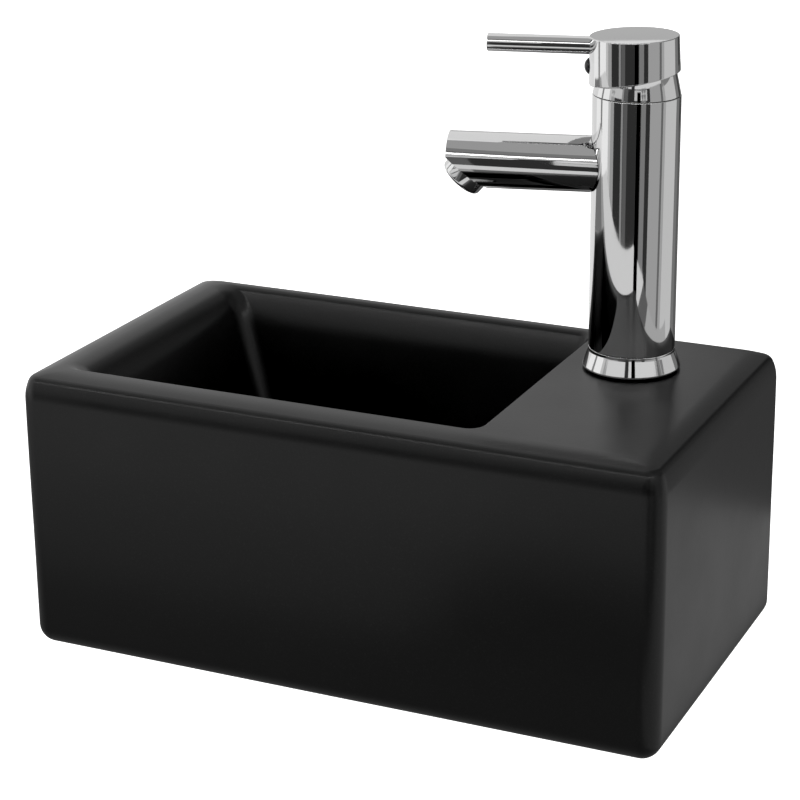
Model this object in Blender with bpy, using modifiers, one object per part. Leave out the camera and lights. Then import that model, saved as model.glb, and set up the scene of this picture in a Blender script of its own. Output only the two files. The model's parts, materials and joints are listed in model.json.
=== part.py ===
"""Small wall-hung hand basin in matt black ceramic, with a chrome single-lever mixer tap.

Units are metres, +Z is up, +X runs along the wall to the right and -Y comes out of the wall.
The origin is on the back face, half-way between the two wall-fixing holes. Two empties carry
the other heights: rim_datum at the rim of the basin and tap_datum on the tap's vertical axis.
"""
from math import cos, pi, radians, sin, sqrt, tan

import bmesh
import bpy
from mathutils import Vector

# ---- basin -------------------------------------------------------------------------------
WIDTH = 0.360
DEPTH = 0.200
HEIGHT = 0.156
FIXING_DROP = 0.060            # rim down to the wall-fixing holes, which carry the origin
FIXING_X = 0.153
FIXING_HOLE_R = 0.006
CORNER_R = 0.0105              # rounding of the upright edges and of the foot
TOP_R = 0.005                  # the top edge turns tightly, then eases into the face
TOP_TURN = radians(65)
TOP_EASE_R = 0.016
WALL = 0.0125
LEDGE_THICK = 0.011
BOWL_WALL = 0.009
BOWL_DEPTH = 0.105
BOWL_CORNER_R = 0.009
BOWL_FLOOR_R = 0.022
# Each side of the bowl: the flat rim's inner edge, the radius it rolls over, the wall's slope.
BOWL_LEFT = (-0.1650, 0.024, radians(19))
BOWL_RIGHT = (0.0785, 0.003, radians(8))
BOWL_FRONT = (-0.1805, 0.003, radians(8))
BOWL_BACK = (-0.0136, 0.013, radians(8))

# ---- waste, on its own vertical axis -----------------------------------------------------
WASTE_X = -0.0255
WASTE_Y = -0.1015
SEAT_DROP = 0.003
SEAT_R = 0.0330
WASTE_HOLE_R = 0.0225
WASTE_THREAD_R = 0.0209        # 1 1/4 inch pipe thread
WASTE_BORE_R = 0.0175
WASTE_TAIL = 0.072             # bowl floor down to the end of the tail

# ---- tap, in a frame whose +X points along the spout and the lever -----------------------
TAP_X = 0.1135
TAP_Y = -0.058
TAP_TURN = radians(194)
TAP_HOLE_R = 0.0175
BODY_R = 0.0230
BODY_FOOT = 0.0120
SEAM = 0.1480
SHANK_R = 0.0165
SHANK_END = -0.0060
CHAMBER_R = 0.0182
CHAMBER_FLOOR = 0.1120
SPOUT_Z = 0.1100
SPOUT_R = 0.0148
SPOUT_REACH = 0.0978
SPOUT_CUT = radians(41.2)
PIVOT_Z = 0.1500
LEVER_Z = 0.1725
LEVER_R = 0.0047
LEVER_TIP = 0.0778
CAP_OFFSET = 0.0011
CAP_LEAN = radians(1.5)
STEM_LEAN = radians(10)
BALL_DROP = 0.0200             # pivot pin down to the ball that moves the disc
DISC_REST = -BALL_DROP * sin(STEM_LEAN)
INLETS = ((0.0015, 0.0065), (0.0015, -0.0065))
OUTLET = (-0.0050, 0.0)
STUD_X = -0.0105

GAP = 0.0003                   # left between pieces that touch
FINE = 32
COARSE = 16


# ---- scene helpers -----------------------------------------------------------------------
def clear_scene():
    for old in list(bpy.data.objects):
        bpy.data.objects.remove(old, do_unlink=True)


def new_collection(name):
    group = bpy.data.collections.new(name)
    bpy.context.scene.collection.children.link(group)
    return group


def material(name, colour, metallic, roughness):
    made = bpy.data.materials.new(name)
    made.use_nodes = True
    shader = made.node_tree.nodes["Principled BSDF"]
    shader.inputs["Base Color"].default_value = (*colour, 1.0)
    shader.inputs["Metallic"].default_value = metallic
    shader.inputs["Roughness"].default_value = roughness
    return made


def empty(name, parent, place, turn=(0, 0, 0)):
    made = bpy.data.objects.new(name, None)
    made.empty_display_size = 0.02
    made.location = place
    made.rotation_euler = turn
    made.parent = parent
    SINK.objects.link(made)
    return made


def add(name, mesh, finish, parent, place=(0, 0, 0), turn=(0, 0, 0)):
    """One sub-part: a named object with its own material, placed under its parent."""
    made = bpy.data.objects.new(name, mesh)
    made.parent = parent
    made.location = place
    made.rotation_euler = turn
    if finish is None:
        made.hide_render = True
        made.display_type = "WIRE"
        CUTTERS.objects.link(made)
    else:
        colour, metallic, roughness = finish
        mesh.materials.append(material(name, colour, metallic, roughness))
        SINK.objects.link(made)
    return made


def mesh_from(bm, name):
    bmesh.ops.recalc_face_normals(bm, faces=bm.faces)
    mesh = bpy.data.meshes.new(name)
    bm.to_mesh(mesh)
    bm.free()
    mesh.shade_smooth()
    mesh.set_sharp_from_angle(angle=radians(35))
    return mesh


# ---- shapes ------------------------------------------------------------------------------
def box_mesh(name, low, high):
    bm = bmesh.new()
    bmesh.ops.create_cube(bm, size=1.0)
    low = Vector(low)
    high = Vector(high)
    size = high - low
    middle = (high + low) / 2
    for vert in bm.verts:
        vert.co = Vector(a * b for a, b in zip(vert.co, size)) + middle
    return mesh_from(bm, name)


def rod_mesh(name, radius, low, high, sides=COARSE):
    """A cylinder along Z between two heights."""
    bm = bmesh.new()
    bmesh.ops.create_cone(bm, cap_ends=True, segments=sides, radius1=radius, radius2=radius,
                          depth=high - low)
    bmesh.ops.translate(bm, verts=bm.verts, vec=(0, 0, (low + high) / 2))
    return mesh_from(bm, name)


def arc(centre, radius, start, end, steps):
    """Points of a profile arc, angles in degrees from +X towards +Z."""
    points = []
    for step in range(steps + 1):
        angle = radians(start + (end - start) * step / steps)
        points.append((centre[0] + radius * cos(angle), centre[1] + radius * sin(angle)))
    return points


def turned(name, profile, finish, parent, place=(0, 0, 0), turn=(0, 0, 0), sides=COARSE):
    """A turned piece: the profile (radius, height) runs down the outer side.

    A profile that starts and ends on the axis is left open, any other is closed to a ring.
    """
    mesh = bpy.data.meshes.new(name)
    verts = [(radius, 0, height) for radius, height in profile]
    edges = [(i, i + 1) for i in range(len(verts) - 1)]
    if profile[0][0] > 0:
        edges.append((len(verts) - 1, 0))
    mesh.from_pydata(verts, edges, [])
    made = add(name, mesh, finish, parent, place, turn)
    screw = made.modifiers.new("turn", "SCREW")
    screw.axis = "Z"
    screw.steps = sides
    screw.render_steps = sides
    screw.use_merge_vertices = True
    screw.merge_threshold = 0.00001
    screw.use_smooth_shade = True
    return made


def ring(name, outer, inner, low, high, finish, parent, place=(0, 0, 0), sides=COARSE):
    profile = [(outer, high), (outer, low), (inner, low), (inner, high)]
    return turned(name, profile, finish, parent, place, sides=sides)


def boolean(target, tool, operation="DIFFERENCE"):
    step = target.modifiers.new(tool.name, "BOOLEAN")
    step.operation = operation
    step.solver = "EXACT"
    step.object = tool


def drill(target, name, radius, low, high, parent, place=(0, 0, 0), turn=(0, 0, 0), sides=COARSE):
    """Cuts a round hole along the local Z of the cutter."""
    tool = add(name, rod_mesh(name, radius, low, high, sides), None, parent, place, turn)
    boolean(target, tool)


def cut_box(target, name, low, high, parent, place=(0, 0, 0), turn=(0, 0, 0)):
    boolean(target, add(name, box_mesh(name, low, high), None, parent, place, turn))


def rounded_rectangle(left, right, front, back, radius, steps=5):
    corners = ((right, back, 0), (left, back, 90), (left, front, 180), (right, front, 270))
    points = []
    for x, y, start in corners:
        centre_x = x - radius if x == right else x + radius
        centre_y = y - radius if y == back else y + radius
        points += arc((centre_x, centre_y), radius, start, start + 90, steps)
    return points


def loft(name, sections):
    """A closed solid through outlines of equal point count, each with its height."""
    bm = bmesh.new()
    rings = []
    for points, height in sections:
        rings.append([bm.verts.new((x, y, height)) for x, y in points])
    count = len(rings[0])
    for upper, lower in zip(rings, rings[1:]):
        for i in range(count):
            bm.faces.new((upper[i], upper[(i + 1) % count], lower[(i + 1) % count], lower[i]))
    bm.faces.new(rings[0])
    bm.faces.new(rings[-1])
    return mesh_from(bm, name)


# ---- finishes: colour, metallic, roughness ------------------------------------------------
BLACK_CERAMIC = ((0.012, 0.012, 0.013), 0.0, 0.42)
CHROME = ((0.78, 0.79, 0.80), 1.0, 0.06)
BRASS = ((0.72, 0.55, 0.28), 1.0, 0.30)
STEEL = ((0.60, 0.61, 0.62), 1.0, 0.30)
RUBBER = ((0.02, 0.02, 0.02), 0.0, 0.75)
WHITE_PLASTIC = ((0.82, 0.82, 0.80), 0.0, 0.45)
GREY_PLASTIC = ((0.30, 0.31, 0.33), 0.0, 0.50)
BLACK_PLASTIC = ((0.03, 0.03, 0.035), 0.0, 0.40)
ALUMINA = ((0.88, 0.87, 0.84), 0.0, 0.25)


# ---- basin ---------------------------------------------------------------------------------
def top_edge():
    """How far in and how far down the top edge's rounding lies, from the rim to the face."""
    width = TOP_R * sin(TOP_TURN) + TOP_EASE_R * (1 - sin(TOP_TURN))
    points = []
    for step in range(4):
        angle = TOP_TURN * step / 3
        points.append((width - TOP_R * sin(angle), TOP_R * (1 - cos(angle))))
    tight_depth = points[-1][1]
    for step in range(1, 4):
        angle = TOP_TURN + (pi / 2 - TOP_TURN) * step / 3
        depth = tight_depth + TOP_EASE_R * (cos(TOP_TURN) - cos(angle))
        points.append((TOP_EASE_R * (1 - sin(angle)), depth))
    return points


def block_mesh(name):
    """The outer block: upright edges of one radius, a tight top edge and a rounded foot."""
    levels = [(inset, -depth) for inset, depth in top_edge()]
    for angle in (0, 22.5, 45, 67.5, 90):
        inset = CORNER_R * (1 - cos(radians(angle)))
        levels.append((inset, CORNER_R * (1 - sin(radians(angle))) - HEIGHT))
    sections = []
    for inset, height in levels:
        radius = max(CORNER_R - inset, 0.0005)
        points = rounded_rectangle(inset - WIDTH / 2, WIDTH / 2 - inset, inset - DEPTH, -inset,
                                   radius)
        sections.append((points, height))
    return loft(name, sections)


def wall_run(side, depth):
    """How far a side has come in at a depth: it rolls over the rim, then slopes down."""
    _, roll, slope = side
    roll_depth = roll * (1 - sin(slope))
    if depth < roll_depth:
        return sqrt(2 * roll * depth - depth * depth)
    return roll * cos(slope) + (depth - roll_depth) * tan(slope)


def bowl_outline(depth, inset, grow):
    """The bowl's outline at a depth below the rim, drawn in by inset and grown by grow."""
    change = inset - grow
    left = BOWL_LEFT[0] + wall_run(BOWL_LEFT, depth) + change
    right = BOWL_RIGHT[0] - wall_run(BOWL_RIGHT, depth) - change
    front = BOWL_FRONT[0] + wall_run(BOWL_FRONT, depth) + change
    back = BOWL_BACK[0] - wall_run(BOWL_BACK, depth) - change
    return rounded_rectangle(left, right, front, back, BOWL_CORNER_R + grow)


def bowl_solid(name, grow):
    depths = [0.003, 0.0055, 0.0085, 0.012, 0.0165]
    sections = []
    if grow == 0:
        sections.append((bowl_outline(0, 0, 0), 0.010))
        depths = [0, 0.0002, 0.0007, 0.0016] + depths
    sections += [(bowl_outline(depth, 0, grow), -depth) for depth in depths]
    floor = BOWL_DEPTH + grow
    corner = BOWL_FLOOR_R + grow
    for angle in (0, 18, 36, 54, 72, 90):
        depth = floor - corner * (1 - sin(radians(angle)))
        inset = corner * (1 - cos(radians(angle)))
        sections.append((bowl_outline(depth, inset, grow), -depth))
    return loft(name, sections)


def make_basin():
    basin = add("basin_body", block_mesh("basin_body"), BLACK_CERAMIC, RIM)
    hollow_low = (-WIDTH / 2 + WALL, -DEPTH + WALL, -HEIGHT - 0.010)
    hollow_high = (WIDTH / 2 - WALL, -WALL, -LEDGE_THICK)
    hollow = add("hollow", box_mesh("hollow", hollow_low, hollow_high), None, RIM)
    corners = hollow.modifiers.new("corners", "BEVEL")
    corners.width = 0.005
    corners.segments = 2
    corners.limit_method = "ANGLE"
    boolean(hollow, add("bowl_outside", bowl_solid("bowl_outside", BOWL_WALL), None, RIM))
    boolean(basin, hollow)
    boolean(basin, add("bowl_inside", bowl_solid("bowl_inside", 0), None, RIM))

    waste = (WASTE_X, WASTE_Y, 0)
    floor = -BOWL_DEPTH
    drill(basin, "waste_seat", SEAT_R, floor - SEAT_DROP, floor + 0.015, RIM, waste, sides=FINE)
    drill(basin, "waste_hole", WASTE_HOLE_R, floor - 0.030, floor + 0.010, RIM, waste)
    drill(basin, "tap_hole", TAP_HOLE_R, -0.030, 0.010, RIM, (TAP_X, TAP_Y, 0))
    for side, x in (("left", -FIXING_X), ("right", FIXING_X)):
        drill(basin, "fixing_hole_" + side, FIXING_HOLE_R, -0.016, 0.010, RIM,
              (x, 0, -FIXING_DROP), (-pi / 2, 0, 0))


# ---- waste ---------------------------------------------------------------------------------
def make_waste():
    """Everything here stands on the waste datum, whose height zero is the bowl's floor."""
    seat = -SEAT_DROP
    under = -BOWL_WALL
    lip = 0.0015
    flange_r = 0.0315
    flange_low = seat + 0.0021
    tail = -WASTE_TAIL
    profile = [(WASTE_BORE_R + 0.002, lip), (flange_r - 0.001, lip), (flange_r, lip - 0.0008),
               (flange_r, flange_low), (WASTE_THREAD_R, flange_low), (WASTE_THREAD_R, tail),
               (WASTE_BORE_R, tail), (WASTE_BORE_R, lip - 0.003)]
    body = turned("waste_body", profile, CHROME, WASTE, sides=FINE)
    bridge_mesh = box_mesh("bridge", (-0.0185, -0.0035, -0.034), (0.0185, 0.0035, -0.030))
    boolean(body, add("bridge", bridge_mesh, None, WASTE), "UNION")
    hub_mesh = rod_mesh("hub", 0.0070, -0.0345, -0.0295)
    boolean(body, add("hub", hub_mesh, None, WASTE), "UNION")
    drill(body, "hub_hole", 0.0045, -0.040, -0.020, WASTE)

    inner = WASTE_THREAD_R + GAP
    ring("flange_seal", 0.0305, inner, seat + GAP, flange_low - GAP, RUBBER, WASTE, sides=FINE)
    cone = [(0.0300, under - GAP), (0.0300, under - 0.003), (0.0255, under - 0.009),
            (inner, under - 0.009), (inner, under - GAP)]
    turned("tapered_washer", cone, RUBBER, WASTE, sides=FINE)
    slip = under - 0.009 - GAP
    ring("friction_washer", 0.0275, inner, slip - 0.0015, slip, WHITE_PLASTIC, WASTE, sides=FINE)
    nut_top = slip - 0.0015 - GAP
    nut = add("waste_backnut", rod_mesh("waste_backnut", 0.0300, nut_top - 0.009, nut_top, 6),
              BRASS, WASTE)
    drill(nut, "backnut_bore", inner, nut_top - 0.020, nut_top + 0.010, WASTE, sides=FINE)

    barrel = [(0.0056, -0.0130), (0.0070, -0.0130), (0.0070, -0.0292), (0.0041, -0.0292),
              (0.0041, -0.0400), (0.0033, -0.0400), (0.0033, -0.0275), (0.0056, -0.0275)]
    turned("plug_barrel", barrel, WHITE_PLASTIC, WASTE)


def make_plug():
    """The pop-up plug, drawn raised; it goes down by 5 mm until its seal meets the flange."""
    cap_low = 0.0095
    dome = arc((0, -0.0930), 0.1100, 90, 75, 6)
    rim_r = 0.0300
    cap = dome[:-1]
    cap += [(rim_r - 0.0006, 0.0128), (rim_r, 0.0118), (rim_r, cap_low), (0.0250, cap_low),
            (0.0245, 0.0122), (0.0100, 0.0125), (0.0100, 0.0085), (0.0034, 0.0085),
            (0.0034, 0.0140), (0, 0.0140)]
    turned("plug_cap", cap, CHROME, PLUG, sides=FINE)
    ring("plug_seal", 0.0242, 0.0215, 0.0070, 0.0119, RUBBER, PLUG)
    stem = [(0, 0.0137), (0.0030, 0.0137), (0.0030, -0.0100), (0.0050, -0.0100),
            (0.0050, -0.0125), (0.0029, -0.0125), (0.0029, -0.0440), (0, -0.0440)]
    turned("plug_stem", stem, BRASS, PLUG)
    ring("plug_clip", 0.0055, 0.0031, -0.0414, -0.0404, STEEL, PLUG)


def make_plug_spring():
    """A compression spring between the barrel's floor and the stem's collar."""
    wire = 0.0004
    coil_r = 0.0046
    low = -0.0275 + GAP + wire
    high = -0.0125 - GAP - wire
    turns = 6
    per_turn = 12
    curve = bpy.data.curves.new("spring_path", "CURVE")
    curve.dimensions = "3D"
    curve.bevel_depth = wire
    curve.bevel_resolution = 1
    curve.use_fill_caps = True
    spline = curve.splines.new("POLY")
    spline.points.add(turns * per_turn)
    for i, point in enumerate(spline.points):
        angle = 2 * pi * i / per_turn
        height = low + (high - low) * i / (turns * per_turn)
        point.co = (coil_r * cos(angle), coil_r * sin(angle), height, 1)
    path = bpy.data.objects.new("spring_path", curve)
    SINK.objects.link(path)
    bpy.context.view_layer.update()
    solved = path.evaluated_get(bpy.context.evaluated_depsgraph_get())
    mesh = bpy.data.meshes.new_from_object(solved)
    bpy.data.objects.remove(path, do_unlink=True)
    bm = bmesh.new()
    bm.from_mesh(mesh)
    bmesh.ops.remove_doubles(bm, verts=bm.verts, dist=0.00001)
    add("plug_spring", mesh_from(bm, "plug_spring"), STEEL, WASTE)


# ---- tap body and spout --------------------------------------------------------------------
def make_tap_body():
    ease = 0.0003
    profile = [(0, CHAMBER_FLOOR), (CHAMBER_R, CHAMBER_FLOOR), (CHAMBER_R, SEAM),
               (BODY_R - ease, SEAM), (BODY_R, SEAM - ease), (BODY_R, BODY_FOOT),
               (SHANK_R, BODY_FOOT), (SHANK_R, SHANK_END), (0, SHANK_END)]
    body = turned("tap_body", profile, CHROME, TAP, sides=FINE)
    for side, (x, y) in zip(("hot", "cold"), INLETS):
        drill(body, "passage_" + side, 0.0022, -0.002, CHAMBER_FLOOR + 0.003, TAP, (x, y, 0),
              sides=10)
        drill(body, "inlet_port_" + side, 0.0048, SHANK_END - 0.003, 0.010, TAP, (x, y, 0))
    drill(body, "outlet_drop", 0.0032, 0.1035, CHAMBER_FLOOR + 0.003, TAP, (*OUTLET, 0), sides=10)
    drill(body, "outlet_way", 0.0034, OUTLET[0] - 0.002, 0.030, TAP, (0, 0, 0.1035),
          (0, pi / 2, 0), 10)
    drill(body, "stud_hole", 0.0042, SHANK_END - 0.003, 0.010, TAP, (STUD_X, 0, 0))

    foot = BODY_FOOT - GAP
    lip_z = 0.0036
    flare = arc((BODY_R - 0.0006, lip_z), 0.0027, 80, -60, 8)
    skirt = [(SHANK_R + GAP, foot), (BODY_R, foot)]
    skirt += [(x, lip_z + (y - lip_z) * (2.9 if y > lip_z else 1.0)) for x, y in flare]
    skirt.append((SHANK_R + GAP, skirt[-1][1]))
    turned("base_flange", skirt, CHROME, TAP, sides=FINE)
    ring("base_gasket", 0.0246, SHANK_R + GAP, GAP, 0.0009, RUBBER, TAP, sides=FINE)


def make_spout():
    spout = add("spout", rod_mesh("spout", SPOUT_R, 0, SPOUT_REACH, FINE), CHROME, TAP,
                (0, 0, SPOUT_Z), (0, pi / 2, 0))
    drill(spout, "spout_saddle", BODY_R + GAP, -0.05, 0.05, TAP, (0, 0, SPOUT_Z), sides=FINE)
    cut_box(spout, "spout_slant", (-0.040, -0.040, -0.060), (0.040, 0.040, 0), AERATOR)
    drill(spout, "spout_bore", 0.0112, -0.010, 0.0780, TAP, (0, 0, SPOUT_Z), (0, pi / 2, 0))
    drill(spout, "aerator_hole", 0.0106, -0.002, 0.0100, AERATOR)


def make_aerator():
    """Built along the outlet's axis; its local -Z is the way the water leaves."""
    sleeve_r = 0.0103
    collar_r = 0.0119
    bore_r = 0.0092
    profile = [(bore_r, 0.0068), (sleeve_r, 0.0068), (sleeve_r, -GAP), (collar_r, -GAP),
               (collar_r, -0.0052)]
    profile += arc((collar_r - 0.0026, -0.0052), 0.0026, -30, -90, 3)
    profile += [(0.0078, -0.0078), (0.0078, -0.0068), (bore_r, -0.0068)]
    turned("aerator_collar", profile, CHROME, AERATOR, sides=FINE)
    insert = turned("aerator_insert", [(0, 0.0030), (0.0089, 0.0030), (0.0089, -0.0065),
                                       (0, -0.0065)], GREY_PLASTIC, AERATOR)
    drill(insert, "insert_hole", 0.0014, -0.010, 0.010, AERATOR, sides=8)
    for i in range(6):
        angle = 2 * pi * i / 6
        drill(insert, "insert_hole_%d" % i, 0.0014, -0.010, 0.010, AERATOR,
              (0.0054 * cos(angle), 0.0054 * sin(angle), 0), sides=8)
    add("aerator_screen", rod_mesh("aerator_screen", 0.0088, 0.0033, 0.0041), STEEL, AERATOR)
    ring("aerator_washer", 0.0103, 0.0080, 0.0071, 0.0090, RUBBER, AERATOR)


# ---- cartridge -----------------------------------------------------------------------------
def make_cartridge():
    base_top = CHAMBER_FLOOR + GAP + 0.0042
    seal_top = CHAMBER_FLOOR + GAP + 0.0045
    base = add("cartridge_base", rod_mesh("cartridge_base", 0.0178, CHAMBER_FLOOR + GAP,
                                          base_top, FINE), GREY_PLASTIC, TAP)
    fixed = add("fixed_disc", rod_mesh("fixed_disc", 0.0135, 0.1171, 0.1205), ALUMINA, TAP)
    for name, (x, y) in zip(("inlet_seal_hot", "inlet_seal_cold", "outlet_seal"),
                            INLETS + (OUTLET,)):
        drill(base, name + "_seat", 0.0040, 0.100, 0.130, TAP, (x, y, 0), sides=12)
        drill(fixed, name + "_port", 0.0022, 0.100, 0.130, TAP, (x, y, 0), sides=12)
        ring(name, 0.0037, 0.0024, CHAMBER_FLOOR + GAP, seal_top, RUBBER, TAP, (x, y, 0), 12)
    housing = [(0.0118, 0.1488), (0.0138, 0.1488), (0.0138, 0.1430), (0.0178, 0.1430),
               (0.0178, base_top + GAP), (0.0165, base_top + GAP), (0.0165, 0.1415),
               (0.0118, 0.1415)]
    turned("cartridge_housing", housing, GREY_PLASTIC, TAP, sides=FINE)
    nut = [(0.0141, 0.1515), (0.0165, 0.1515), (0.0165, 0.1475), (0.0179, 0.1475),
           (0.0179, 0.1433), (0.0141, 0.1433)]
    retaining = turned("retaining_nut", nut, BRASS, TAP)
    for angle in (0, pi / 2):
        cut_box(retaining, "spanner_slot_%d" % round(angle), (-0.020, -0.002, 0.1498),
                (0.020, 0.002, 0.1600), TAP, turn=(0, 0, angle + pi / 4))
    trim = [(0.0190, 0.1597), (0.0204, 0.1597), (0.0228, SEAM + GAP), (0.0212, SEAM + GAP)]
    turned("trim_ring", trim, CHROME, TAP, sides=FINE)


def make_turning_parts():
    """The sleeve that turns with the lever, and the pin that the lever lifts on."""
    profile = [(0, 0.1535), (0.0115, 0.1535), (0.0115, 0.1412), (0.0160, 0.1412),
               (0.0160, 0.1335), (0, 0.1335)]
    sleeve = turned("rotor_sleeve", profile, WHITE_PLASTIC, TAP)
    cut_box(sleeve, "stem_slot", (-0.0080, -0.0034, 0.120), (0.0080, 0.0034, 0.160), TAP)
    across = (-pi / 2, 0, 0)
    drill(sleeve, "pin_bore", 0.0018, -0.020, 0.020, LIFT, turn=across, sides=12)
    add("pivot_pin", rod_mesh("pivot_pin", 0.0015, -0.0105, 0.0105, 12), STEEL, LIFT, turn=across)


def make_sliding_parts():
    """The upper ceramic disc and its carrier, which the ball of the stem pushes."""
    disc = add("moving_disc", rod_mesh("moving_disc", 0.0125, 0.1208, 0.1238), ALUMINA, SLIDE)
    drill(disc, "mixing_pocket", 0.0058, 0.1180, 0.1226, SLIDE)
    carrier = add("disc_carrier", rod_mesh("disc_carrier", 0.0110, 0.1241, 0.1328),
                  BLACK_PLASTIC, SLIDE)
    drill(carrier, "ball_socket", 0.0034, 0.1262, 0.1400, SLIDE, sides=16)


# ---- handle --------------------------------------------------------------------------------
def make_handle():
    """Everything that lifts, measured from the pivot pin."""
    lean = (0, STEM_LEAN, 0)
    stem = add("cartridge_stem", box_mesh("cartridge_stem", (-0.0032, -0.0030, -0.0120),
                                          (0.0032, 0.0030, 0.0190)), BRASS, LIFT, turn=lean)
    ball = arc((0, -BALL_DROP), 0.0029, 50, -90, 7)
    tail = turned("stem_tail", [(0, -0.0110), (0.0019, -0.0110)] + ball[:-1] +
                  [(0, -BALL_DROP - 0.0029)], None, LIFT, turn=lean, sides=12)
    boolean(stem, tail, "UNION")
    drill(stem, "stem_pin_hole", 0.0019, -0.010, 0.010, LIFT, turn=(-pi / 2, 0, 0), sides=12)

    top = 0.0285
    ceiling = 0.0180
    cap_profile = [(0, top), (0.0229, top), (0.0232, top - 0.0003), (0.0236, 0.0010),
                   (0.0225, 0.0010), (0.0221, ceiling), (0, ceiling)]
    cap = turned("handle_cap", cap_profile, CHROME, LIFT, (CAP_OFFSET, 0, 0), (0, CAP_LEAN, 0),
                 FINE)
    cut_box(cap, "cap_slant", (-0.040, -0.040, -0.030), (0.040, 0.040, 0), LIFT,
            (0, 0, 0.0065), (0, radians(7), 0))
    for name, reach, low in (("stem_boss", 0.0168, 0.0085), ("lever_boss", 0.0228, 0.0112)):
        boss = box_mesh(name, (-0.0060, -0.0065, low), (reach, 0.0065, 0.0190))
        boolean(cap, add(name, boss, None, LIFT), "UNION")
    cut_box(cap, "stem_socket", (-0.0036, -0.0034, 0.0050), (0.0036, 0.0034, 0.0195), LIFT,
            turn=lean)
    along = (0, pi / 2, 0)
    rod_height = LEVER_Z - PIVOT_Z
    screw_height = 0.0118
    drill(cap, "lever_hole", LEVER_R + GAP, 0.0120, 0.040, LIFT, (0, 0, rod_height), along)
    drill(cap, "screw_hole", 0.0028, 0.0010, 0.040, LIFT, (0, 0, screw_height), along)

    tip = LEVER_TIP
    ease = 0.0006
    rod = [(0, tip), (LEVER_R - ease, tip), (LEVER_R, tip - ease), (LEVER_R, 0.0123), (0, 0.0123)]
    turned("lever_rod", rod, CHROME, LIFT, (0, 0, rod_height), along, 24)
    screw = [(0, 0.0150), (0.0025, 0.0150), (0.0025, 0.0070), (0, 0.0070)]
    turned("grub_screw", screw, STEEL, LIFT, (0, 0, screw_height), along, 12)
    face = 0.0254
    button = arc((0, face - 0.0044), 0.0062, 90, 47, 4)
    button = [(x, z + 0.0006) for x, z in button] + [(0.0043, face), (0.0024, face)]
    button += [(0.0024, 0.0212), (0, 0.0212)]
    turned("index_button", button, BLACK_PLASTIC, LIFT, (0, 0, screw_height), along, 16)


# ---- fixings below the ledge -----------------------------------------------------------------
def horseshoe(name, low, high, finish):
    """A round plate with a slot for the supply pipes and a hole for the stud."""
    plate = add(name, rod_mesh(name, 0.0245, low, high, FINE), finish, TAP)
    drill(plate, name + "_slot_end", 0.0118, -0.040, 0, TAP, (0.0065, 0, 0))
    cut_box(plate, name + "_slot", (0.0065, -0.0118, -0.040), (0.030, 0.0118, 0), TAP)
    drill(plate, name + "_hole", 0.0042, -0.040, 0, TAP, (STUD_X, 0, 0))


def make_fixings():
    under = -LEDGE_THICK - GAP
    horseshoe("fixing_gasket", under - 0.0030, under, RUBBER)
    horseshoe("fixing_plate", under - 0.0053, under - 0.0033, STEEL)
    nut_top = under - 0.0056
    nut = add("fixing_nut", rod_mesh("fixing_nut", 0.0075, nut_top - 0.010, nut_top, 6), BRASS,
              TAP, (STUD_X, 0, 0))
    drill(nut, "nut_bore", 0.0042, -0.060, 0, TAP, (STUD_X, 0, 0))
    add("mounting_stud", rod_mesh("mounting_stud", 0.0039, -0.055, 0.0090, 16), BRASS, TAP,
        (STUD_X, 0, 0))


clear_scene()
SINK = new_collection("wall_hung_hand_basin")
CUTTERS = new_collection("cutters")
CUTTERS.hide_render = True
RIM = empty("rim_datum", None, (0, 0, FIXING_DROP))
WASTE = empty("waste_datum", RIM, (WASTE_X, WASTE_Y, -BOWL_DEPTH))
PLUG = empty("plug_travel", WASTE, (0, 0, 0))
TAP = empty("tap_datum", RIM, (TAP_X, TAP_Y, 0), (0, 0, TAP_TURN))
SLIDE = empty("disc_travel", TAP, (DISC_REST, 0, 0))
LIFT = empty("lift_axis", TAP, (0, 0, PIVOT_Z))
cut_middle = (SPOUT_REACH - 0.0105, 0, SPOUT_Z - 0.0052)
AERATOR = empty("outlet_axis", TAP, cut_middle, (0, -SPOUT_CUT, 0))

make_basin()
make_waste()
make_plug()
make_plug_spring()
make_tap_body()
make_spout()
make_aerator()
make_cartridge()
make_turning_parts()
make_sliding_parts()
make_handle()
make_fixings()
bpy.context.view_layer.update()
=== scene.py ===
"""Looks for the small black wall-hung hand basin and its chrome mixer tap.

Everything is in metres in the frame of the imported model. Sizes and places are read from the
CAD nodes where they can be, and the others are written below. They agree with the CAD source,
apart from added fine detail and from the basin's surface. Here its rim falls gently towards the
outer edge, its top edge eases longer into the face, its walls swell slightly, and the bowl's
left and back walls roll a little differently.
"""
import json
from math import acos, atan2, cos, pi, radians, sin, sqrt, tan

import bmesh
import bpy
from mathutils import Matrix, Vector, noise


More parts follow.
